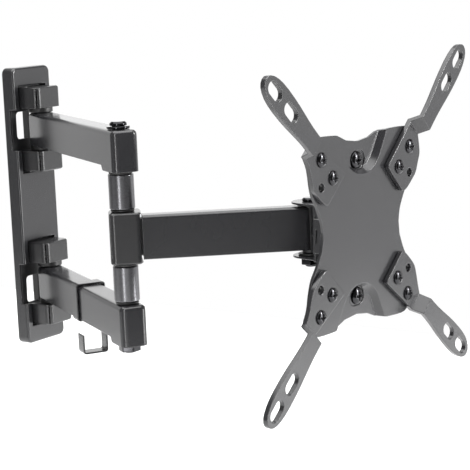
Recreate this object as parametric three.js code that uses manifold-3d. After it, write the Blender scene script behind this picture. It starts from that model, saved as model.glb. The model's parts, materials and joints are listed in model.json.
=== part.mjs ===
// A full-motion wall mount for a small flat screen: a slim wall plate, two pressed
// arms that swing together, a single outer arm, a swivel and tilt head, and a screen
// plate with four bolted extension arms.
//
// Millimetres. The world has its origin on the wall, X to the right, Z up, and the
// mount reaches out along -Y. Every assembly below is drawn in its own frame: X points
// forward along the piece, Y to the right of someone facing the wall, Z up.
import * as THREE from 'three';
import { mergeVertices } from 'three/addons/utils/BufferGeometryUtils.js';
import Module from 'manifold-3d';

const wasm = await Module();
wasm.setup();

// ---------------------------------------------------------------- driving sizes
const GAP = 0.3; // clearance left between pieces that touch

const PLATE = { height: 208.6, width: 41.3, depth: 10.6, corner: 5, sheet: 1.5 };
const WEB = { front: 5.5, sheet: 2.5 };
const KNUCKLE_Z = 58.2; // height of each dual arm above or below the centre
const PIVOT_X = 17.8;
const WINDOW_HALF = 15;

const ARM = {
  length: 165.8, half: 9.2, tall: 24, sheet: 2, top: 2.2, bend: 3, nose: 12.6, corner: 4.4, lip: 3.5,
};
const ARM_HEADING = -30.4;

const PIN = 3.9; // pivot bolt radius
const BORE = 4.2; // every hole a pivot bolt passes through

const OUTER = { length: 124.1, half: 7, low: -16.2, high: 13, sheet: 2, bend: 2.5, start: 12.2 };
const OUTER_HEADING = 70.8; // from the dual arms
const SLEEVE = { back: -9.5, front: 11.9, half: 11, low: -18.7, high: 15.7, wall: 1.5, corner: 4 };
const HUB = { radius: 5.6, low: -18.7, high: 13.2 };

const SWIVEL_HEADING = -44.5; // from the outer arm
const TILT_X = 24;
const TILT_Z = 0.5;
const TILT_REST = 1.35;
const LEVEL_REST = -1.5;
const SCREEN_X = 42.4; // front of the screen plate, from the swivel axis

const SHEET = 2; // screen plate
const POCKET_DEPTH = 4;
const DIMPLE = { halfWidth: 8.2, halfHeight: 6.3, depth: 0.8 }; // seat of each level screw
const LEVEL_Z = 45;
const BASE = { back: GAP, sheet: 3.2 }; // extension arm foot on the screen plate
const JOGGLE = { start: 85, end: 89.1, rise: 7.6 };

// ---------------------------------------------------------------- materials
const coat = (color, roughness, metalness) =>
  new THREE.MeshStandardMaterial({ color, roughness, metalness });
const GRAPHITE = coat(0x5c5c5f, 0.45, 0.55);
const CHARCOAL = coat(0x464648, 0.5, 0.4);
const SOFT_BLACK = coat(0x262627, 0.55, 0.1);
const BLACK_ZINC = coat(0x1e1e20, 0.32, 0.8);
const SATIN_STEEL = coat(0x8a8a8e, 0.3, 0.9);
const NYLON = coat(0x1b1b1b, 0.6, 0);

// ---------------------------------------------------------------- solids
const DEG = Math.PI / 180;

function toSolid(geometry) {
  const bare = geometry.clone();
  bare.deleteAttribute('normal');
  bare.deleteAttribute('uv');
  const merged = mergeVertices(bare, 1e-4);
  return new wasm.Manifold(new wasm.Mesh({
    numProp: 3,
    vertProperties: new Float32Array(merged.attributes.position.array),
    triVerts: new Uint32Array(merged.index.array),
  }));
}

function toGeometry(solid) {
  const mesh = solid.getMesh();
  const geometry = new THREE.BufferGeometry();
  geometry.setAttribute('position', new THREE.BufferAttribute(mesh.vertProperties, 3));
  geometry.setIndex(new THREE.BufferAttribute(mesh.triVerts, 1));
  geometry.computeVertexNormals();
  return geometry;
}

const join = (...parts) => toGeometry(parts.map(toSolid).reduce((sum, next) => sum.add(next)));
const cut = (body, ...tools) =>
  toGeometry(tools.map(toSolid).reduce((sum, next) => sum.subtract(next), toSolid(body)));
const common = (...parts) => toGeometry(parts.map(toSolid).reduce((sum, next) => sum.intersect(next)));
const moved = (geometry, x, y, z) => geometry.clone().translate(x, y, z);
const FLIP = new THREE.Matrix4().makeRotationX(Math.PI);
const upsideDown = (geometry) => geometry.clone().applyMatrix4(FLIP);

const FACING = new THREE.Matrix4().makeBasis(
  new THREE.Vector3(0, 1, 0),
  new THREE.Vector3(0, 0, 1),
  new THREE.Vector3(1, 0, 0),
);

// An outline seen from above (forward, right), standing from `low` to `high`.
// A `bend` rounds its top and bottom edges inward.
function upright(shape, low, high, bend = 0, curveSegments = 6) {
  const rounding = { bevelEnabled: bend > 0, bevelSize: bend, bevelThickness: bend, bevelOffset: -bend };
  const steps = { curveSegments, bevelSegments: Math.ceil(bend) };
  const options = { depth: high - low - 2 * bend, ...steps, ...rounding };
  return new THREE.ExtrudeGeometry(shape, options).translate(0, 0, low + bend);
}

// An outline seen from the front (right, up), reaching from `back` to `front`.
const facing = (shape, back, front, bend = 0, curveSegments = 6) =>
  upright(shape, back, front, bend, curveSegments).applyMatrix4(FACING);

// An outline seen from the side (forward, up), reaching from `near` to `far` along Y.
const sideways = (shape, near, far) => upright(shape, -far, -near).rotateX(Math.PI / 2);

const block = (x0, x1, y0, y1, z0, z1) =>
  new THREE.BoxGeometry(x1 - x0, y1 - y0, z1 - z0).translate((x0 + x1) / 2, (y0 + y1) / 2, (z0 + z1) / 2);

function post(radius, low, high, segments = 24) {
  const upright = new THREE.CylinderGeometry(radius, radius, high - low, segments).rotateX(Math.PI / 2);
  return upright.translate(0, 0, (low + high) / 2);
}

// A round tool pointing forward, centred at (right, up).
const drill = (radius, back, front, right, up, segments = 12) =>
  post(radius, back, front, segments).rotateY(Math.PI / 2).translate(0, right, up);

// Turned about Z from [radius, height] pairs running upward from the axis to the axis.
function turned(profile, segments = 24) {
  const points = profile.map(([radius, height]) => new THREE.Vector2(radius, height));
  return new THREE.LatheGeometry(points, segments).rotateX(Math.PI / 2);
}

const ring = (outer, inner, low, high, segments = 24) =>
  turned([[inner, low], [outer, low], [outer, high], [inner, high], [inner, low]], segments);

function polygon(points) {
  return new THREE.Shape(points.map(([x, y]) => new THREE.Vector2(x, y)));
}

function roundedRect(x0, x1, y0, y1, r) {
  const shape = new THREE.Shape();
  shape.absarc(x1 - r, y0 + r, r, -90 * DEG, 0);
  shape.absarc(x1 - r, y1 - r, r, 0, 90 * DEG);
  shape.absarc(x0 + r, y1 - r, r, 90 * DEG, 180 * DEG);
  shape.absarc(x0 + r, y0 + r, r, 180 * DEG, 270 * DEG);
  return shape;
}

const slot = (length, width) => roundedRect(-length / 2, length / 2, -width / 2, width / 2, width / 2 - 0.01);

function hexNut(acrossFlats, low, high) {
  const corners = [0, 1, 2, 3, 4, 5].map((i) => [Math.cos(i * 60 * DEG), Math.sin(i * 60 * DEG)]);
  const radius = acrossFlats / Math.sqrt(3);
  const hexagon = polygon(corners.map(([x, y]) => [x * radius, y * radius]));
  return cut(upright(hexagon, low, high), post(BORE, low - 1, high + 1));
}

// A headed bolt standing on Z: the head's underside is at `seat`, above the shank.
function headedBolt(shank, end, seat, head, top) {
  const crown = head - (top - seat) * 0.45;
  const rim = seat + (top - seat) * 0.55;
  const stem = [[0, end], [shank - 0.5, end], [shank, end + 0.5], [shank, seat]];
  return turned([...stem, [head, seat], [head, rim], [crown, top], [0, top]]);
}

// A cross-recessed screw pointing back along X, head front at `front`.
function crossScrew(shank, end, seat, head, front) {
  const dome = 0.45 * (front - seat);
  const crown = [[head, front - dome], [head - 1.2, front], [0, front]];
  const body = turned([[0, end], [shank, end], [shank, seat], [head, seat], ...crown], 18).rotateY(90 * DEG);
  const reach = 0.5 * head;
  const web = 0.11 * head;
  const depth = 0.6 * (front - seat);
  const across = block(front - depth, front + 1, -reach, reach, -web, web);
  const upDown = block(front - depth, front + 1, -web, web, -reach, reach);
  return cut(body, across, upDown);
}

// ---------------------------------------------------------------- frames
const root = new THREE.Group();

function frameOn(parent, x, z, heading) {
  const frame = new THREE.Group();
  frame.position.set(x, 0, z);
  frame.rotation.z = heading * DEG;
  parent.add(frame);
  return frame;
}

function put(frame, name, material, geometry) {
  const mesh = new THREE.Mesh(geometry, material);
  mesh.name = name;
  frame.add(mesh);
}

const wall = frameOn(root, 0, 0, -90);
const arms = frameOn(wall, PIVOT_X, 0, ARM_HEADING);
const elbow = frameOn(arms, ARM.length, 0, OUTER_HEADING);
const head = frameOn(elbow, OUTER.length, 0, SWIVEL_HEADING);
const tilting = frameOn(head, TILT_X, TILT_Z, 0);
tilting.rotation.y = TILT_REST * DEG;
const screen = frameOn(tilting, SCREEN_X - TILT_X, 0, 0);
screen.rotation.x = LEVEL_REST * DEG;

// ---------------------------------------------------------------- knuckles
// Each dual arm is held between two ears folded out of the wall channel.
const EAR = { near: ARM.tall / 2 + 3.6 + 2 * GAP, sheet: 2.5, half: 11.5, front: 24.4 };
const CAP = { half: 13.8, back: 5.9, front: 26.8, tall: 15.5, wall: 1.2, corner: 5, round: 1.5 };

function earBlank(low, high) {
  return upright(roundedRect(WEB.front - 1, EAR.front, -EAR.half, EAR.half, 5), low, high, 0, 4);
}

function squareEar(z) {
  const tongue = block(WEB.front - 1, EAR.front - 8, -EAR.half, EAR.half, z, z + EAR.sheet);
  return join(earBlank(z, z + EAR.sheet), tongue);
}

function knuckleCap() {
  const low = EAR.near - GAP;
  const high = low + CAP.tall;
  const plan = roundedRect(CAP.back - CAP.corner, CAP.front, -CAP.half, CAP.half, CAP.corner);
  const shell = upright(plan, low - CAP.round, high, CAP.round);
  const inside = CAP.half - CAP.wall;
  const hollow = block(CAP.back - 1, CAP.front - CAP.wall, -inside, inside, low - 1, high - CAP.wall);
  return cut(common(shell, block(CAP.back, CAP.front, -CAP.half, CAP.half, low, high)), hollow);
}

function pivotBolt() {
  const seat = EAR.near + EAR.sheet + GAP;
  return headedBolt(PIN, -seat - 6.5, seat, 6.4, seat + 5);
}

function buildKnuckle(name, z) {
  const seat = EAR.near + EAR.sheet + GAP;
  const armFace = ARM.tall / 2 + GAP;
  const cap = knuckleCap();
  put(wall, `${name}_knuckle_cap_top`, CHARCOAL, moved(cap, 0, 0, z));
  put(wall, `${name}_knuckle_cap_bottom`, CHARCOAL, moved(upsideDown(cap), 0, 0, z));
  put(wall, `${name}_pivot_bolt`, BLACK_ZINC, moved(pivotBolt(), PIVOT_X, 0, z));
  put(wall, `${name}_pivot_nut`, BLACK_ZINC, moved(hexNut(11, -seat - 5, -seat), PIVOT_X, 0, z));
  const spacer = ring(9, BORE, armFace, EAR.near - GAP);
  put(wall, `${name}_pivot_spacer_top`, NYLON, moved(spacer, PIVOT_X, 0, z));
  put(wall, `${name}_pivot_spacer_bottom`, NYLON, moved(upsideDown(spacer), PIVOT_X, 0, z));
}

// ---------------------------------------------------------------- wall plate
const HALF_W = PLATE.width / 2;
const HALF_H = PLATE.height / 2;
const WALL_SCREWS = { heights: [94.5, 22, -18, -94.5], radius: 3.5 };
const KNOCK_OUTS = { heights: [61, -63.5], halfWidth: 13.9, halfHeight: 10.2, corner: 3 };
const RIB = { half: 0.9, front: WEB.front - 0.2 };
const FOOT_PAD = { half: 6, low: -7, high: 9 }; // where the rib widens at the middle of the wall

function knockOut(z) {
  const { halfWidth, halfHeight, corner } = KNOCK_OUTS;
  const outline = roundedRect(-halfWidth, halfWidth, z - halfHeight, z + halfHeight, corner);
  return facing(outline, -1, WEB.front + 1);
}

function buildWallBracket() {
  const halfWidth = HALF_W - PLATE.sheet - GAP;
  const halfHeight = HALF_H - PLATE.corner;
  const back = WEB.front - WEB.sheet;
  const web = block(back, WEB.front, -halfWidth, halfWidth, -halfHeight, halfHeight);
  const edge = block(0, WEB.front, 0, WEB.sheet, -halfHeight, halfHeight);
  const rib = block(0, RIB.front, -RIB.half, RIB.half, -halfHeight, halfHeight);
  const pad = block(0, RIB.front, -FOOT_PAD.half, FOOT_PAD.half, FOOT_PAD.low, FOOT_PAD.high);
  const knockOuts = KNOCK_OUTS.heights.map(knockOut);
  const { heights, radius } = WALL_SCREWS;
  const wallScrews = heights.map((z) => drill(radius, -1, WEB.front + 1, 0, z, 16));
  const edges = [moved(edge, 0, -halfWidth, 0), moved(edge, 0, halfWidth - WEB.sheet, 0)];
  const channel = cut(join(web, ...edges), ...knockOuts);
  const ears = [];
  for (const z of [KNUCKLE_Z, -KNUCKLE_Z]) {
    ears.push(squareEar(z + EAR.near), squareEar(z - EAR.near - EAR.sheet));
  }
  const bores = moved(post(BORE, -HALF_H, HALF_H), PIVOT_X, 0, 0);
  put(wall, 'wall_bracket', SOFT_BLACK, cut(join(channel, rib, pad, ...ears), bores, ...wallScrews));
}

function buildWallCover() {
  const outline = roundedRect(-HALF_W, HALF_W, -HALF_H, HALF_H, PLATE.corner);
  const outer = common(
    facing(outline, -PLATE.depth, PLATE.depth, 2),
    block(0, PLATE.depth + 1, -HALF_W - 1, HALF_W + 1, -HALF_H - 1, HALF_H + 1),
  );
  const insideW = HALF_W - PLATE.sheet;
  const insideH = HALF_H - PLATE.sheet;
  const inside = roundedRect(-insideW, insideW, -insideH, insideH, PLATE.corner - PLATE.sheet);
  const openings = [];
  const capReach = EAR.near - GAP + CAP.tall + 1.2;
  const capHalf = CAP.half + 1.3;
  for (const z of [KNUCKLE_Z, -KNUCKLE_Z]) {
    const front = PLATE.depth + 1;
    openings.push(block(WEB.front, front, -HALF_W - 1, HALF_W + 1, z - WINDOW_HALF, z + WINDOW_HALF));
    openings.push(block(WEB.front, front, -capHalf, capHalf, z - capReach, z + capReach));
  }
  const hollow = facing(inside, -1, PLATE.depth - PLATE.sheet);
  put(wall, 'wall_cover', GRAPHITE, cut(outer, hollow, ...openings));
}

// ---------------------------------------------------------------- dual arms
// Pressed channels, open underneath, round at the wall and blunt at the elbow.
function armOutline(inset) {
  const half = ARM.half - inset;
  const nose = ARM.length + ARM.nose - inset;
  const corner = ARM.corner - inset;
  const shape = new THREE.Shape();
  shape.absarc(0, 0, half, 90 * DEG, 270 * DEG);
  shape.absarc(nose - corner, -half + corner, corner, -90 * DEG, 0);
  shape.absarc(nose - corner, half - corner, corner, 0, 90 * DEG);
  return shape;
}

function armSide() {
  const low = -ARM.tall / 2;
  const lipStart = ARM.length - 12.5;
  const shape = new THREE.Shape();
  shape.moveTo(-ARM.half - 1, low);
  shape.lineTo(lipStart, low);
  shape.bezierCurveTo(lipStart + 2, low, lipStart + 1.5, low - ARM.lip, lipStart + 4, low - ARM.lip);
  shape.lineTo(ARM.length + ARM.nose + 1, low - ARM.lip);
  shape.lineTo(ARM.length + ARM.nose + 1, ARM.tall / 2 + 1);
  shape.lineTo(-ARM.half - 1, ARM.tall / 2 + 1);
  return shape;
}

function pressedArm() {
  const high = ARM.tall / 2;
  const skin = upright(armOutline(0), -2 * ARM.tall, high, ARM.bend);
  const channel = common(skin, sideways(armSide(), -ARM.half - 1, ARM.half + 1));
  const hollow = upright(armOutline(ARM.sheet), -2 * ARM.tall - 1, high - ARM.top);
  const bore = post(BORE, 0, high + 1);
  return cut(channel, hollow, bore, moved(bore, ARM.length, 0, 0));
}

function buildDualArm(name, z) {
  const bushTop = ARM.tall / 2 - ARM.top - GAP;
  const bushRadius = ARM.half - ARM.sheet - GAP;
  put(arms, `${name}_arm`, GRAPHITE, moved(pressedArm(), 0, 0, z));
  const pivotBush = ring(bushRadius, BORE, -ARM.tall / 2, bushTop);
  put(arms, `${name}_pivot_bush`, SATIN_STEEL, moved(pivotBush, 0, 0, z));
  const elbowBush = ring(bushRadius, BORE, -ARM.tall / 2 - ARM.lip, bushTop);
  put(arms, `${name}_elbow_bush`, SATIN_STEEL, moved(elbowBush, ARM.length, 0, z));
}

// ---------------------------------------------------------------- elbow post
const HUB_TOP = KNUCKLE_Z + ARM.tall / 2;
const UPPER_LIP = KNUCKLE_Z - ARM.tall / 2 - ARM.lip;
const LOWER_TOP = -KNUCKLE_Z + ARM.tall / 2;
const LOWER_LIP = -KNUCKLE_Z - ARM.tall / 2 - ARM.lip;
const RING_TALL = 1.5;

// A spacer tube between two nylon rings, filling the space from `low` to `high`.
function buildSpacerStack(name, low, high) {
  const nylon = ring(7.9, BORE, 0, RING_TALL);
  put(arms, `${name}_ring_low`, NYLON, moved(nylon, ARM.length, 0, low + GAP));
  put(arms, `${name}_ring_high`, NYLON, moved(nylon, ARM.length, 0, high - GAP - RING_TALL));
  const tube = ring(8.5, BORE, low + RING_TALL + 2 * GAP, high - RING_TALL - 2 * GAP, 40);
  put(arms, `${name}_tube`, SATIN_STEEL, moved(tube, ARM.length, 0, 0));
}

function buildElbowPost() {
  const washerTop = HUB_TOP + GAP + 1.8;
  const bolt = headedBolt(PIN, LOWER_LIP - 6, washerTop + GAP, 5.8, washerTop + GAP + 2.8);
  const washer = ring(7.7, BORE, HUB_TOP + GAP, washerTop);
  const nut = hexNut(13, LOWER_LIP - GAP - 4.6, LOWER_LIP - GAP);
  put(arms, 'elbow_bolt', BLACK_ZINC, moved(bolt, ARM.length, 0, 0));
  put(arms, 'elbow_washer', BLACK_ZINC, moved(washer, ARM.length, 0, 0));
  put(arms, 'elbow_nut', BLACK_ZINC, moved(nut, ARM.length, 0, 0));
  buildSpacerStack('upper_elbow', SLEEVE.high, UPPER_LIP);
  buildSpacerStack('lower_elbow', LOWER_TOP, SLEEVE.low);
}

// ---------------------------------------------------------------- outer arm
function buildElbowBarrel() {
  const low = SLEEVE.low + 1.5;
  const high = SLEEVE.high - 1.5;
  const tongue = block(5, 22, -4.6, 4.6, OUTER.low + 2.5, OUTER.high - 2.5);
  const barrel = cut(join(post(8.2, low, high), tongue), post(BORE, low - 1, high + 1));
  put(elbow, 'elbow_barrel', SOFT_BLACK, barrel);
}

function buildElbowSleeve() {
  const { back, front, half, low, high, wall: skin, corner } = SLEEVE;
  const shell = upright(roundedRect(back, front, -half, half, corner), low, high, 1);
  const [floor, roof] = [low + skin - GAP, high - skin + GAP];
  const hollow = block(back + skin / 2, front + 1, skin - half, half - skin, floor, roof);
  put(elbow, 'elbow_sleeve', CHARCOAL, cut(shell, hollow, post(BORE, low - 1, high + 1)));
}

function buildOuterArm() {
  const { length, half, low, high, sheet, bend, start } = OUTER;
  const plan = roundedRect(start - 10, length, -half, half, bend + 1);
  const trim = block(start, length, -half - 1, half + 1, low, high + 1);
  const skin = common(upright(plan, low - 10, high, bend), trim);
  const hollow = block(start - 1, length - 14, sheet - half, half - sheet, low - 1, high - sheet);
  const hubSpace = moved(post(HUB.radius + GAP, low - 1, high + 1), length, 0, 0);
  put(elbow, 'outer_arm', GRAPHITE, cut(skin, hollow, hubSpace));
  put(elbow, 'head_hub', SOFT_BLACK, moved(ring(HUB.radius, BORE, HUB.low, HUB.high), length, 0, 0));
}

// ---------------------------------------------------------------- swivel head
const SWIVEL = {
  washer: 0.9, sheet: 1.2, radius: 12, webBack: 15, webFront: 17, half: 17, earSheet: 2.5, earRadius: 8,
};
const CLEVIS_TOP = HUB.high + 2 * GAP + SWIVEL.washer;
const CLEVIS_BOTTOM = HUB.low - 2 * GAP - SWIVEL.washer;

function clevisOutline() {
  const shape = new THREE.Shape();
  shape.absarc(0, 0, SWIVEL.radius, 90 * DEG, 270 * DEG);
  shape.lineTo(SWIVEL.webFront, -14);
  shape.lineTo(SWIVEL.webFront, 14);
  return shape;
}

// A side ear with a round end about the tilt axis at (x, z), rooted at `foot`.
function earSide(foot, x, z, rootHalf) {
  const side = foot < x ? 1 : -1;
  const shape = new THREE.Shape();
  shape.moveTo(foot, z - side * rootHalf);
  shape.absarc(x, z, SWIVEL.earRadius, -side * 90 * DEG, (180 - side * 90) * DEG);
  shape.lineTo(foot, z + side * rootHalf);
  return shape;
}

const tiltBore = (radius, x, z) => moved(post(radius, -30, 30, 24).rotateX(90 * DEG), x, 0, z);

function buildSwivelBracket() {
  const top = CLEVIS_TOP + SWIVEL.sheet;
  const bottom = CLEVIS_BOTTOM - SWIVEL.sheet;
  const flange = upright(clevisOutline(), 0, SWIVEL.sheet);
  const flanges = [moved(flange, 0, 0, CLEVIS_TOP), moved(flange, 0, 0, bottom)];
  const web = block(SWIVEL.webBack, SWIVEL.webFront, -SWIVEL.half, SWIVEL.half, bottom, top);
  const ear = earSide(SWIVEL.webBack, TILT_X, TILT_Z, 14);
  const ears = [sideways(ear, -SWIVEL.half, SWIVEL.earSheet - SWIVEL.half)];
  ears.push(sideways(ear, SWIVEL.half - SWIVEL.earSheet, SWIVEL.half));
  const body = join(web, ...flanges, ...ears);
  const bores = [post(BORE, bottom - 1, top + 1), tiltBore(BORE, TILT_X, TILT_Z)];
  put(head, 'swivel_bracket', GRAPHITE, cut(body, ...bores));
}

function buildSwivelBolt() {
  const seat = CLEVIS_TOP + SWIVEL.sheet + GAP;
  const foot = CLEVIS_BOTTOM - SWIVEL.sheet - GAP;
  put(head, 'swivel_bolt', BLACK_ZINC, headedBolt(PIN, foot - 6.5, seat, 4.8, seat + 2.2));
  put(head, 'swivel_nut', BLACK_ZINC, hexNut(12, foot - 5, foot));
  const washer = ring(8.4, BORE, 0, SWIVEL.washer);
  put(head, 'swivel_washer_top', NYLON, moved(washer, 0, 0, HUB.high + GAP));
  put(head, 'swivel_washer_bottom', NYLON, moved(washer, 0, 0, HUB.low - GAP - SWIVEL.washer));
}

// ---------------------------------------------------------------- tilt bracket
const FLOOR_BACK = SCREEN_X - TILT_X - POCKET_DEPTH - SHEET; // from the tilt axis
const STRAP = {
  front: FLOOR_BACK - GAP, sheet: 3, half: 14, reach: 56, midHalf: 20.5, midReach: 14,
};

function buildTiltBracket() {
  const back = STRAP.front - STRAP.sheet;
  const { front, half, reach, midHalf, midReach } = STRAP;
  const strip = facing(roundedRect(-half, half, -reach, reach, 4), back, front);
  const middle = block(back, front, -midHalf, midHalf, -midReach, midReach);
  const ear = earSide(front, 0, 0, midReach);
  const earIn = midHalf - SWIVEL.earSheet;
  const ears = [sideways(ear, -midHalf, -earIn), sideways(ear, earIn, midHalf)];
  const screwHoles = [LEVEL_Z, -LEVEL_Z].map((z) => drill(2.7, 0, 30, 0, z));
  const body = join(strip, middle, ...ears);
  put(tilting, 'tilt_bracket', CHARCOAL, cut(body, tiltBore(BORE, 0, 0), ...screwHoles));
}

function buildTiltBolts() {
  const seat = STRAP.midHalf + GAP;
  const nutOuter = SWIVEL.half - SWIVEL.earSheet - GAP;
  const bolt = headedBolt(4, nutOuter - 4.4, seat, 6.8, seat + 3.2);
  const nut = hexNut(11, nutOuter - 3.4, nutOuter);
  for (const [side, turn] of [['left', 90], ['right', -90]]) {
    put(tilting, `tilt_bolt_${side}`, BLACK_ZINC, bolt.clone().rotateX(turn * DEG));
    put(tilting, `tilt_nut_${side}`, BLACK_ZINC, nut.clone().rotateX(turn * DEG));
  }
}

function buildLevelScrews() {
  const floorFront = FLOOR_BACK + SHEET;
  const seat = floorFront - DIMPLE.depth + GAP;
  const screw = crossScrew(2.4, STRAP.front - STRAP.sheet - 3, seat, 5.8, seat + 2.6);
  put(tilting, 'level_screw_top', BLACK_ZINC, moved(screw, 0, 0, LEVEL_Z));
  put(tilting, 'level_screw_bottom', BLACK_ZINC, moved(screw, 0, 0, -LEVEL_Z));
}

// ---------------------------------------------------------------- screen plate
const CORNER_HOLES = [37.5, 50];
const OPEN_HOLE = { right: 50, up: 32.5, radius: 3 };

// Each corner's side and height, and how its extension arm sits there: the offset of the
// strip from the plate's diagonal and its lean in degrees, both positive away from level.
const CORNERS = new Map([
  ['top_left', { right: -1, up: 1, shift: -3.4, lean: -4 }],
  ['top_right', { right: 1, up: 1, shift: 4.6, lean: 2 }],
  ['bottom_left', { right: -1, up: -1, shift: -3.2, lean: -1.9 }],
  ['bottom_right', { right: 1, up: -1, shift: -1.9, lean: -6.4 }],
]);

const openHole = (right, up) =>
  drill(OPEN_HOLE.radius, -4, 4, right * OPEN_HOLE.right, up * OPEN_HOLE.up, 16);

// One quarter of the rim, from the waist to where the scallop of the top edge begins.
const RIM = [
  [42.9, 0], [44.3, 9], [49.3, 19.2], [54.3, 27], [57.3, 38], [58, 48], [56.5, 58], [50, 63.4], [30, 63.4],
];
const SCALLOP = { handle: 18, depth: 6.3 };

function screenOutline() {
  const [[waist], ...quarter] = RIM;
  const [end, edge] = RIM.at(-1);
  const { handle, depth } = SCALLOP;
  const corner = (sx, sz) => quarter.map(([x, z]) => new THREE.Vector2(sx * x, sz * z));
  const shape = new THREE.Shape();
  const scallop = (sx, sz) => {
    const low = sz * (edge - depth);
    shape.bezierCurveTo(sx * handle, sz * edge, sx * handle, low, 0, low);
    shape.bezierCurveTo(-sx * handle, low, -sx * handle, sz * edge, -sx * end, sz * edge);
  };
  shape.moveTo(waist, 0);
  shape.splineThru(corner(1, 1));
  scallop(1, 1);
  shape.splineThru(corner(-1, 1).reverse().slice(1));
  shape.splineThru([new THREE.Vector2(-waist, 0), ...corner(-1, -1)]);
  scallop(-1, -1);
  shape.splineThru(corner(1, -1).reverse().slice(1));
  return shape;
}

// The pocket floor: a tongue that widens and runs out through the top edge of the plate.
function pocketFloor(grow) {
  const shape = new THREE.Shape();
  const bottom = 39.2 - grow;
  const [mouth, neck] = [31 + grow, 17.2 + grow];
  shape.moveTo(-mouth, 75);
  shape.lineTo(-neck, 50);
  shape.bezierCurveTo(-14 - grow, 44, -9, bottom, 0, bottom);
  shape.bezierCurveTo(9, bottom, 14 + grow, 44, neck, 50);
  shape.lineTo(mouth, 75);
  return shape;
}

// A pocket with sloping walls, its mouth at `front` and POCKET_DEPTH deep.
function pocketTool(front, grow) {
  const walls = { bevelEnabled: true, bevelSegments: 1, bevelThickness: POCKET_DEPTH, bevelSize: 3.2 };
  const shape = new THREE.ExtrudeGeometry(pocketFloor(grow), { depth: 12, curveSegments: 5, ...walls });
  return shape.applyMatrix4(FACING).translate(front, 0, 0);
}

function buildScreenPlate() {
  const trim = facing(screenOutline(), -12, 0, 0, 3);
  const solids = [facing(screenOutline(), -SHEET, 0, 0, 3)];
  const tools = [];
  const { halfWidth, halfHeight, depth } = DIMPLE;
  const dimplePlan = roundedRect(-halfWidth, halfWidth, -halfHeight, halfHeight, halfHeight - 0.3);
  for (const turn of [0, 180 * DEG]) {
    const dimple = moved(facing(dimplePlan, -POCKET_DEPTH - depth, 0, 0, 4), 0, 0, LEVEL_Z);
    const levelSlot = moved(facing(slot(10.8, 5.6), -12, 0, 0, 4), 0, 0, LEVEL_Z);
    solids.push(common(pocketTool(-SHEET, 1.2).rotateX(turn), trim));
    tools.push(pocketTool(0, 0).rotateX(turn), dimple.rotateX(turn), levelSlot.rotateX(turn));
  }
  const flange = cut(block(-8, -SHEET + 0.1, 41.6, 43.2, -11, 11), block(-6, -4.8, 40, 46, -4.5, 4.5));
  solids.push(flange, moved(flange, 0, -41.6 - 43.2, 0));
  for (const { right, up } of CORNERS.values()) {
    tools.push(...CORNER_HOLES.map((hole) => drill(2.1, -4, 1, right * hole, up * hole)));
    tools.push(openHole(right, up));
  }
  put(screen, 'screen_plate', GRAPHITE, cut(join(...solids), ...tools));
}

// ---------------------------------------------------------------- extension arms
// Drawn in (out, across): `out` runs along the plate's diagonal from its centre.
const FOOT = { inner: 44.6, high: 10.2, low: -16, end: 83, corner: 2 };
const FOOT_SIDE = [[50, -17.8], [57.5, -18.4], [63.5, -18.2], [69.8, -15.4], [76.2, -11.8]];
const STRIP = { knee: 88, root: 20, narrow: 6.4, wide: 8.9, widest: 46, tip: 67.2 };
const STRIP_SLOTS = { places: [35, 55.5], length: 15, width: 8.8 };

function footOutline(shift, hand) {
  const { inner, high, low, end, corner } = FOOT;
  const side = [...FOOT_SIDE, [end, shift - STRIP.narrow]];
  const shape = new THREE.Shape();
  shape.moveTo(end, hand * (shift + STRIP.narrow));
  shape.lineTo(inner + corner, hand * high);
  shape.quadraticCurveTo(inner, hand * high, inner, hand * (high - corner));
  shape.lineTo(inner, hand * (low + corner));
  shape.quadraticCurveTo(inner, hand * low, inner + corner, hand * (low - 0.9));
  shape.splineThru(side.map(([out, across]) => new THREE.Vector2(out, hand * across)));
  shape.lineTo(STRIP.knee, hand * (shift - STRIP.narrow));
  shape.lineTo(STRIP.knee, hand * (shift + STRIP.narrow));
  return shape;
}

// A leaf-shaped strip from its root, behind the knee, to its round tip.
function stripOutline() {
  const { root, narrow, wide, widest, tip } = STRIP;
  const shape = new THREE.Shape();
  shape.moveTo(-root / 2, -narrow);
  shape.lineTo(root / 5, -narrow);
  shape.bezierCurveTo(root, -narrow, widest - root, -wide, widest, -wide);
  shape.bezierCurveTo(tip - wide * 0.8, -wide, tip, -wide * 0.6, tip, 0);
  shape.bezierCurveTo(tip, wide * 0.6, tip - wide * 0.8, wide, widest, wide);
  shape.bezierCurveTo(widest - root, wide, root, narrow, root / 5, narrow);
  shape.lineTo(-root / 2, narrow);
  return shape;
}

// The strip seen edge on: flat on the plate, then stepped forward past its rim.
function joggleOutline() {
  const { back, sheet } = BASE;
  const { start, end, rise } = JOGGLE;
  const shift = sheet * Math.tan(Math.atan2(rise, end - start) / 2);
  const rear = [[back, 40], [back, start], [back + rise, end], [back + rise, 170]];
  const front = [[back + sheet + rise, 170], [back + sheet + rise, end - shift]];
  return polygon([...rear, ...front, [back + sheet, start - shift], [back + sheet, 40]]);
}

function extensionArm({ right, up, shift, lean }) {
  const hand = right * up;
  const diagonal = Math.atan2(up, right);
  const place = (geometry) => geometry.rotateX(hand * lean * DEG).translate(0, STRIP.knee, hand * shift);
  const slotTool = facing(slot(STRIP_SLOTS.length, STRIP_SLOTS.width), -1, 14, 0, 4);
  const slots = STRIP_SLOTS.places.map((along) => place(moved(slotTool, 0, along, 0)));
  const plan = join(facing(footOutline(shift, hand), -1, 14), place(facing(stripOutline(), -1, 14)));
  const strip = cut(common(plan, upright(joggleOutline(), -40, 40)), ...slots).rotateX(diagonal);
  const holes = CORNER_HOLES.map((hole) => drill(2.1, -1, 4, right * hole, up * hole));
  return cut(strip, ...holes, openHole(right, up));
}

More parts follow.
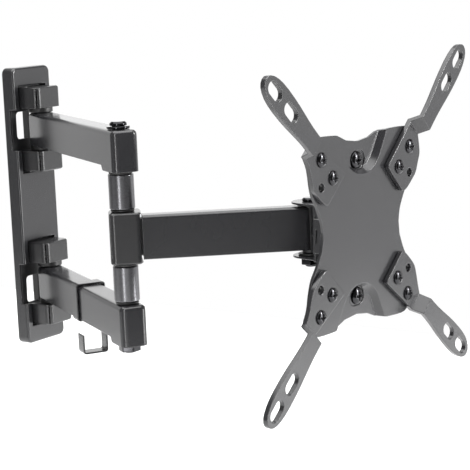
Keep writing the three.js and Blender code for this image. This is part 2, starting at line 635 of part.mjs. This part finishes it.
function buildExtensionArms() {
  const seat = BASE.back + BASE.sheet + GAP;
  const screw = crossScrew(1.9, -5, seat, 4.75, seat + 1.9);
  const [innerHole, outerHole] = CORNER_HOLES;
  for (const [corner, layout] of CORNERS) {
    const { right, up } = layout;
    put(screen, `extension_arm_${corner}`, GRAPHITE, extensionArm(layout));
    for (const [place, hole] of [['inner', innerHole], ['outer', outerHole]]) {
      const node = `corner_screw_${corner}_${place}`;
      put(screen, node, BLACK_ZINC, moved(screw, 0, right * hole, up * hole));
    }
  }
}

// ---------------------------------------------------------------- cable clip
const CLIP = { sheet: 1.3, near: 81, far: 92, bend: 2, drop: 24.4, legTop: 11 };

// The outline of a bent strip that follows the [x, y] corners of its middle line.
function ribbon(corners, thickness, radius) {
  const nodes = corners.map(([x, y]) => new THREE.Vector2(x, y));
  const path = new THREE.Path([nodes[0]]);
  for (let i = 1; i < nodes.length - 1; i += 1) {
    const start = nodes[i - 1].clone().sub(nodes[i]).setLength(radius).add(nodes[i]);
    const finish = nodes[i + 1].clone().sub(nodes[i]).setLength(radius).add(nodes[i]);
    path.lineTo(start.x, start.y);
    path.quadraticCurveTo(nodes[i].x, nodes[i].y, finish.x, finish.y);
  }
  path.lineTo(nodes.at(-1).x, nodes.at(-1).y);
  const line = path.getPoints(4);
  const side = (offset) => line.map((point, i) => {
    const along = line[Math.min(i + 1, line.length - 1)].clone().sub(line[Math.max(i - 1, 0)]).normalize();
    return new THREE.Vector2(point.x - along.y * offset, point.y + along.x * offset);
  });
  return new THREE.Shape([...side(thickness / 2), ...side(-thickness / 2).reverse()]);
}

// The clip wraps the lower arm and hangs an open cable cradle below it.
function buildCableClip() {
  const off = GAP + CLIP.sheet / 2;
  const near = -ARM.half - off;
  const top = -KNUCKLE_Z + ARM.tall / 2 + off;
  const under = -KNUCKLE_Z - ARM.tall / 2 - off;
  const far = ARM.half + 1.1;
  const hook = near + 3;
  const wrap = [[far, top - 6], [far, top], [near, top], [near, under], [far, under]];
  const cradle = [[far, under - CLIP.drop], [hook, under - CLIP.drop], [hook, under - CLIP.legTop]];
  const outline = ribbon([...wrap, ...cradle], CLIP.sheet, CLIP.bend);
  put(arms, 'cable_clip', CHARCOAL, facing(outline, CLIP.near, CLIP.far));
}

// ---------------------------------------------------------------- assembly
buildWallBracket();
buildWallCover();
buildKnuckle('upper', KNUCKLE_Z);
buildKnuckle('lower', -KNUCKLE_Z);
buildDualArm('upper', KNUCKLE_Z);
buildDualArm('lower', -KNUCKLE_Z);
buildElbowPost();
buildElbowBarrel();
buildElbowSleeve();
buildOuterArm();
buildSwivelBracket();
buildSwivelBolt();
buildTiltBracket();
buildTiltBolts();
buildLevelScrews();
buildScreenPlate();
buildExtensionArms();
buildCableClip();

export default root;
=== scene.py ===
"""Looks for the full-motion wall mount: fine meshes, materials, studio light and camera."""

import json
import math
from typing import NamedTuple

import bmesh
import bpy
from mathutils import Euler, Matrix, Vector


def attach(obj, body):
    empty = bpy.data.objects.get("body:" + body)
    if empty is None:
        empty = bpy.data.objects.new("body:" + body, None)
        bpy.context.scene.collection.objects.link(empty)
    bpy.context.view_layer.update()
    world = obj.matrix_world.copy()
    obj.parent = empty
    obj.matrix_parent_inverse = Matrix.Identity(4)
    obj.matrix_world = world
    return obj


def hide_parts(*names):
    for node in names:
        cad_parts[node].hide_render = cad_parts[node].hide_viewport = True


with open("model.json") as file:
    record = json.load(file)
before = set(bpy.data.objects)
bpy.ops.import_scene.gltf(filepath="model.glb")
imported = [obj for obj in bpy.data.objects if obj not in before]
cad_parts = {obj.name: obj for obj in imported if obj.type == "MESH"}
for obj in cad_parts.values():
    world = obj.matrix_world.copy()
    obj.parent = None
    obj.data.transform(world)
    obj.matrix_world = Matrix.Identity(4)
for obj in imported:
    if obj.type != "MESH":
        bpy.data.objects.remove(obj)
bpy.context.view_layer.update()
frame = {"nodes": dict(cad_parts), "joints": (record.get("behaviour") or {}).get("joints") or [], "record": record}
NODES = frame["nodes"]
JOINTS = {joint["name"]: joint for joint in frame["joints"]}
SLOTS = {part["node"]: part["material_slot"] for part in frame["record"]["subparts"]}
BODY_OF = {
    node: body
    for body, members in frame["record"]["behaviour"]["bodies"].items()
    for node in members
}
MM = 0.001


def added(name, data):
    """A new object in the scene, made of a mesh, a light or a camera."""
    item = bpy.data.objects.new(name, data)
    bpy.context.scene.collection.objects.link(item)
    return item


def grey(level):
    return (level, level, level, 1)


# ---------------------------------------------------------------- camera
CAMERA_AT = Vector((-0.892, -0.8264, 0.1731))
CAMERA_TURN = math.radians(54.544)  # from +Y towards +X
CAMERA_DROP = math.radians(9.585)
CAMERA_ROLL = math.radians(-2.35)
LENS_MM = 122.6
SENSOR_MM = 36.0
NEAREST = 0.05
FURTHEST = 30.0


def make_camera():
    data = bpy.data.cameras.new("camera")
    data.lens = LENS_MM
    data.sensor_width = SENSOR_MM
    data.clip_start = NEAREST
    data.clip_end = FURTHEST
    camera = added("camera", data)
    aim = Euler((math.pi / 2 - CAMERA_DROP, 0, -CAMERA_TURN)).to_matrix()
    turn = (aim @ Matrix.Rotation(CAMERA_ROLL, 3, "Z")).to_4x4()
    camera.matrix_world = Matrix.Translation(CAMERA_AT) @ turn
    bpy.context.scene.camera = camera


# ---------------------------------------------------------------- floor
FLOOR_Z = -0.42
FLOOR_HALF = 1.3  # half the length of its side; a wider one would whiten the upright faces
FLOOR_LEVEL = 0.93
FLOOR_ROUGHNESS = 0.9


def make_floor():
    mesh = bpy.data.meshes.new("floor")
    half = FLOOR_HALF
    corners = [(-half, -half), (half, -half), (half, half), (-half, half)]
    mesh.from_pydata([(x, y, FLOOR_Z) for x, y in corners], [], [(0, 1, 2, 3)])
    floor = added("floor", mesh)
    mesh.materials.append(plain_floor())


def plain_floor():
    material, _, shader = new_material("pale_floor")
    shader.inputs["Base Color"].default_value = grey(FLOOR_LEVEL)
    shader.inputs["Roughness"].default_value = FLOOR_ROUGHNESS
    return material


# ---------------------------------------------------------------- light
SKY_TOWARDS = (0.75, 0.66, 0.0)  # the bright side of the studio, behind and right of the wall plate
# How bright the studio is, from the side opposite SKY_TOWARDS, at 0, round to that side, at 1.
SKY_STEPS = [(0.0, 0.38), (0.14, 0.02), (0.38, 0.6), (0.6, 0.1), (0.85, 0.44), (1.0, 2.0)]
SKY_BRIGHTEST = SKY_STEPS[-1][1]
OVERHEAD_STRENGTH = 4.2
OVERHEAD_SPREAD = math.radians(75)


class SoftBox(NamedTuple):
    """A lamp's place, the point that it faces and its width and height in metres, and its watts."""

    at: tuple
    faces: tuple
    size: tuple
    watts: float


# A dim wide box, two narrow upright ones for bright lines along bends, and a small glint.
SOFT_BOXES = {
    "front_right": SoftBox((1.75, -1.35, 0.1), (0, -0.28, 0), (1.7, 1.3), 6.4),
    "left": SoftBox((-1.395, -0.575, 0.35), (0, -0.2, 0.1), (0.15, 1.7), 9),
    "front": SoftBox((0.63, -1.55, 0.35), (0, -0.2, 0.1), (0.3, 1.7), 20),
    "glint": SoftBox((0.7, -1.6, 0.36), (0, -0.28, 0), (0.2, 0.2), 9),
}


def sky_color(tree):
    """The studio's brightness in each direction, as a share of its brightest side's."""
    direction = tree.nodes.new("ShaderNodeTexCoord").outputs["Generated"]
    facing = tree.nodes.new("ShaderNodeVectorMath")
    facing.operation = "DOT_PRODUCT"
    facing.inputs[1].default_value = SKY_TOWARDS
    tree.links.new(direction, facing.inputs[0])
    share = tree.nodes.new("ShaderNodeMapRange")
    share.inputs["From Min"].default_value = -1
    tree.links.new(facing.outputs["Value"], share.inputs["Value"])
    steps = tree.nodes.new("ShaderNodeValToRGB")
    steps.color_ramp.interpolation = "B_SPLINE"
    for position, _ in SKY_STEPS[1:-1]:
        steps.color_ramp.elements.new(position)
    for element, (position, level) in zip(steps.color_ramp.elements, SKY_STEPS):
        element.position = position
        element.color = grey(level / SKY_BRIGHTEST)
    tree.links.new(share.outputs["Result"], steps.inputs["Fac"])
    return steps.outputs["Color"]


def studio_world():
    """White to the camera, and bright and dark bands round the object as a light."""
    world = bpy.data.worlds.new("studio")
    world.use_nodes = True
    tree = world.node_tree
    light = tree.nodes["Background"]
    light.inputs["Strength"].default_value = SKY_BRIGHTEST
    tree.links.new(sky_color(tree), light.inputs["Color"])
    white = tree.nodes.new("ShaderNodeBackground")
    white.inputs["Color"].default_value = grey(1)
    camera_ray = tree.nodes.new("ShaderNodeLightPath").outputs["Is Camera Ray"]
    mix = tree.nodes.new("ShaderNodeMixShader")
    tree.links.new(camera_ray, mix.inputs["Fac"])
    tree.links.new(light.outputs["Background"], mix.inputs[1])
    tree.links.new(white.outputs["Background"], mix.inputs[2])
    tree.links.new(mix.outputs["Shader"], tree.nodes["World Output"].inputs["Surface"])
    bpy.context.scene.world = world


def overhead_light():
    data = bpy.data.lights.new("overhead", "SUN")
    data.energy = OVERHEAD_STRENGTH
    data.angle = OVERHEAD_SPREAD
    added("overhead", data)


def soft_box(name, box):
    data = bpy.data.lights.new(name, "AREA")
    data.shape = "RECTANGLE"
    data.size, data.size_y = box.size
    data.energy = box.watts
    lamp = added(name, data)
    lamp.location = box.at
    lamp.rotation_euler = (Vector(box.faces) - Vector(box.at)).to_track_quat("-Z", "Y").to_euler()


def make_light():
    studio_world()
    overhead_light()
    for name, box in SOFT_BOXES.items():
        soft_box(name, box)
    bpy.context.scene.view_settings.view_transform = "Standard"


# ---------------------------------------------------------------- materials
EDGE_RADIUS_MM = 0.8  # coated edges look this round, which is what gives them their bright lines
EDGE_SAMPLES = 8
COAT_IOR = 1.6
CLOUDS_PER_METRE = 18  # slow changes of colour
CLOUD_DETAIL = 3
CLOUD_RANGE = (0.3, 0.7)  # the noise values at which the colour is darkest and lightest
GRAIN_DETAIL = 4
RELIEF_MM = 0.05  # depth of the grain at full strength


class Finish(NamedTuple):
    """A fine-grained surface."""

    color: tuple
    spread: float  # how far the colour goes either way, as a share of it
    rough: tuple  # lowest and highest roughness
    grain_mm: float
    bump: float  # strength of the grain's relief
    metallic: float = 0.0


FINISHES = {
    "graphite_coat": Finish((0.018, 0.018, 0.0198), 0.06, (0.17, 0.26), 0.45, 0.12),
    "charcoal_coat": Finish((0.013, 0.013, 0.014), 0.05, (0.18, 0.28), 0.45, 0.15),
    "charcoal_plastic": Finish((0.014, 0.014, 0.015), 0.04, (0.2, 0.3), 0.3, 0.2),
    "black_steel": Finish((0.008, 0.008, 0.009), 0.1, (0.4, 0.55), 0.5, 0.4),
    "black_zinc": Finish((0.035, 0.035, 0.037), 0.1, (0.06, 0.12), 0.3, 0.1, 1.0),
    "satin_steel": Finish((0.17, 0.17, 0.178), 0.04, (0.24, 0.32), 0.3, 0.2, 1.0),
    "nylon": Finish((0.006, 0.006, 0.006), 0.1, (0.4, 0.55), 0.5, 0.3),
}


def new_material(name):
    material = bpy.data.materials.new(name)
    material.use_nodes = True
    tree = material.node_tree
    return material, tree, tree.nodes["Principled BSDF"]


def noise(tree, scale, detail, coordinates):
    node = tree.nodes.new("ShaderNodeTexNoise")
    node.inputs["Scale"].default_value = scale
    node.inputs["Detail"].default_value = detail
    tree.links.new(coordinates, node.inputs["Vector"])
    return node.outputs["Fac"]


def remap(tree, value, low, high):
    node = tree.nodes.new("ShaderNodeMapRange")
    node.inputs["To Min"].default_value = low
    node.inputs["To Max"].default_value = high
    tree.links.new(value, node.inputs["Value"])
    return node.outputs["Result"]


def tinted(tree, value, color, spread):
    """The colour, darker where the value is low and lighter where it is high."""
    ramp = tree.nodes.new("ShaderNodeValToRGB")
    shares = (1 - spread, 1 + spread)
    for element, position, share in zip(ramp.color_ramp.elements, CLOUD_RANGE, shares):
        element.position = position
        element.color = (*[channel * share for channel in color], 1)
    tree.links.new(value, ramp.inputs["Fac"])
    return ramp.outputs["Color"]


def relief(tree, grain, strength):
    """Normals with the grain on them, and shaded round at the edges."""
    softened = tree.nodes.new("ShaderNodeBevel")
    softened.samples = EDGE_SAMPLES
    softened.inputs["Radius"].default_value = EDGE_RADIUS_MM * MM
    bump = tree.nodes.new("ShaderNodeBump")
    bump.inputs["Strength"].default_value = strength
    bump.inputs["Distance"].default_value = RELIEF_MM * MM
    tree.links.new(softened.outputs["Normal"], bump.inputs["Normal"])
    tree.links.new(grain, bump.inputs["Height"])
    return bump.outputs["Normal"]


def grained(name, finish):
    material, tree, shader = new_material(name)
    place = tree.nodes.new("ShaderNodeTexCoord").outputs["Object"]
    cloud = noise(tree, CLOUDS_PER_METRE, CLOUD_DETAIL, place)
    grain = noise(tree, 1 / (finish.grain_mm * MM), GRAIN_DETAIL, place)
    color = tinted(tree, cloud, finish.color, finish.spread)
    tree.links.new(color, shader.inputs["Base Color"])
    tree.links.new(remap(tree, grain, *finish.rough), shader.inputs["Roughness"])
    tree.links.new(relief(tree, grain, finish.bump), shader.inputs["Normal"])
    shader.inputs["Metallic"].default_value = finish.metallic
    shader.inputs["IOR"].default_value = COAT_IOR
    return material


MATERIALS = {name: grained(name, finish) for name, finish in FINISHES.items()}


# ---------------------------------------------------------------- pieces
BEVELS_MM = {"wall_cover": 0.8, "screen_plate": 0.6, "elbow_sleeve": 0.5}
USUAL_BEVEL_MM = 0.4
BEVEL_SEGMENTS = 3
ROUNDED_FROM = math.radians(32)  # edges that turn more than this are rounded
FLAT_UP_TO = math.radians(1)  # faces that turn less than this from their neighbour join it
SAME_POINT_MM = 0.001
FACE_WEIGHT = 100  # a setting from 1 to 100; above 50, larger faces lead the shading


def refined(node, bevel_mm):
    """The CAD node's shape with its sharp edges rounded and its curves smooth."""
    mesh = NODES[node].data.copy()
    work = bmesh.new()
    work.from_mesh(mesh)
    bmesh.ops.remove_doubles(work, verts=work.verts, dist=SAME_POINT_MM * MM)
    edges = list(work.edges)
    verts = list(work.verts)
    bmesh.ops.dissolve_limit(work, angle_limit=FLAT_UP_TO, verts=verts, edges=edges)
    for face in work.faces:
        face.smooth = True
    work.to_mesh(mesh)
    work.free()
    if "custom_normal" in mesh.attributes:
        mesh.attributes.remove(mesh.attributes["custom_normal"])
    dressed(node, mesh, bevel_mm)


def round_edges(piece, bevel_mm):
    rounding = piece.modifiers.new("rounding", "BEVEL")
    rounding.width = bevel_mm * MM
    rounding.segments = BEVEL_SEGMENTS
    rounding.limit_method = "ANGLE"
    rounding.angle_limit = ROUNDED_FROM
    even = piece.modifiers.new("even_shading", "WEIGHTED_NORMAL")
    even.mode = "FACE_AREA"
    even.weight = FACE_WEIGHT


def dressed(node, mesh, bevel_mm=0):
    """The piece that stands for the CAD node, in its finish and on its body."""
    piece = added(node + "_fine", mesh)
    mesh.materials.clear()
    mesh.materials.append(MATERIALS[SLOTS[node]])
    if bevel_mm:
        round_edges(piece, bevel_mm)
    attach(piece, BODY_OF[node])
    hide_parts(node)


# ---------------------------------------------------------------- cross-recessed screws
class Screw(NamedTuple):
    """The height of the head, and the shank's radius as a share of the head's."""

    tall_mm: float
    shank_share: float


SCREWS = {"corner_screw": Screw(1.9, 0.4), "level_screw": Screw(2.6, 0.41)}
SCREW_SIDES = 96
TIP_SHARE = 0.02  # the small ring that closes the shank's end, as a share of the shank
UNDER_SHARE = 0.97  # the head's underside, as a share of its width
DOME_SHARE = 0.9  # how much of the head's height is its dome; the rest is a short rim
DOME_RINGS = 30
# The recess: reach, web and slope are shares of the head's radius, and depth of its height.
CROSS = {"reach": 0.56, "web": 0.15, "slope": 0.09, "depth": 0.75}
LEVEL_REST = math.radians(-1.5)  # how far the screen plate is turned at rest


def screen_axes():
    """Forward, right and up of the screen plate as it hangs at rest."""
    forward = Vector(JOINTS["screen_level"]["axis"]).normalized()
    right = Matrix.Rotation(LEVEL_REST, 3, forward) @ Vector(JOINTS["head_tilt"]["axis"]).normalized()
    return forward, right, forward.cross(right)


def span(node, axis):
    """How far the CAD node reaches each way along a direction."""
    reach = [axis.dot(vertex.co) for vertex in NODES[node].data.vertices]
    return min(reach), max(reach)


def cross_depth(across, along):
    """How deep the cross recess is, from 0 to 1, at a point given in head radii."""
    deepest = 0.0
    for far, side in ((abs(across), abs(along)), (abs(along), abs(across))):
        end = min(1.0, max(0.0, (CROSS["reach"] - far) / CROSS["slope"]))
        wall = min(1.0, max(0.0, (CROSS["web"] - side) / CROSS["slope"]))
        deepest = max(deepest, end * wall)
    return deepest


def screw_rings(head, tall, shank, length):
    """(radius, height, is_dome) from the shank's end to the top, heights from the top down.

    The widest ring is there twice, once for the rim and once for the dome, so that the shading
    has a crisp edge between them.
    """
    dome = DOME_SHARE * tall
    rings = [
        (TIP_SHARE * shank, -length, False),
        (shank, -length, False),
        (shank, -tall, False),
        (UNDER_SHARE * head, -tall, False),
        (head, -dome, False),
    ]
    for step in range(DOME_RINGS):
        share = 1 - step / DOME_RINGS
        rings.append((head * share, -dome * (1 - math.sqrt(1 - share ** 2)), True))
    return rings


def screw_points(node, screw):
    """The rings' points, one ring after another, and last the bottom of the cross."""
    forward, right, up = screen_axes()
    low, top = span(node, forward)
    left, head_right = span(node, right)
    foot, head_up = span(node, up)
    head = (head_right - left) / 2
    centre = right * (left + head) + up * (foot + head_up) / 2 + forward * top
    tall = screw.tall_mm * MM
    bottom = CROSS["depth"] * tall
    points = []
    for radius, height, is_dome in screw_rings(head, tall, screw.shank_share * head, top - low):
        for side in range(SCREW_SIDES):
            angle = math.tau * side / SCREW_SIDES
            across = radius * math.cos(angle)
            along = radius * math.sin(angle)
            sunk = bottom * cross_depth(across / head, along / head) if is_dome else 0
            points.append(centre + right * across + up * along + forward * (height - sunk))
    points.append(centre - forward * bottom)
    return points


def screw_faces(rings):
    """Quads from ring to ring, a fan to the last point, and the face that closes the shank."""
    faces = []
    for ring in range(rings - 1):
        for side in range(SCREW_SIDES):
            here = ring * SCREW_SIDES + side
            there = ring * SCREW_SIDES + (side + 1) % SCREW_SIDES
            faces.append((here, there, there + SCREW_SIDES, here + SCREW_SIDES))
    last = (rings - 1) * SCREW_SIDES
    for side in range(SCREW_SIDES):
        faces.append((last + side, last + (side + 1) % SCREW_SIDES, rings * SCREW_SIDES))
    faces.append(tuple(reversed(range(SCREW_SIDES))))
    return faces


def fine_screw(node, screw):
    points = screw_points(node, screw)
    mesh = bpy.data.meshes.new(node + "_fine")
    mesh.from_pydata(points, [], screw_faces(len(points) // SCREW_SIDES))
    mesh.shade_smooth()
    dressed(node, mesh)


# ---------------------------------------------------------------- the whole scene
def make_pieces():
    for node in NODES:
        kind = "_".join(node.split("_")[:2])
        if kind in SCREWS:
            fine_screw(node, SCREWS[kind])
        else:
            refined(node, BEVELS_MM.get(node, USUAL_BEVEL_MM))


make_pieces()
make_camera()
make_floor()
make_light()
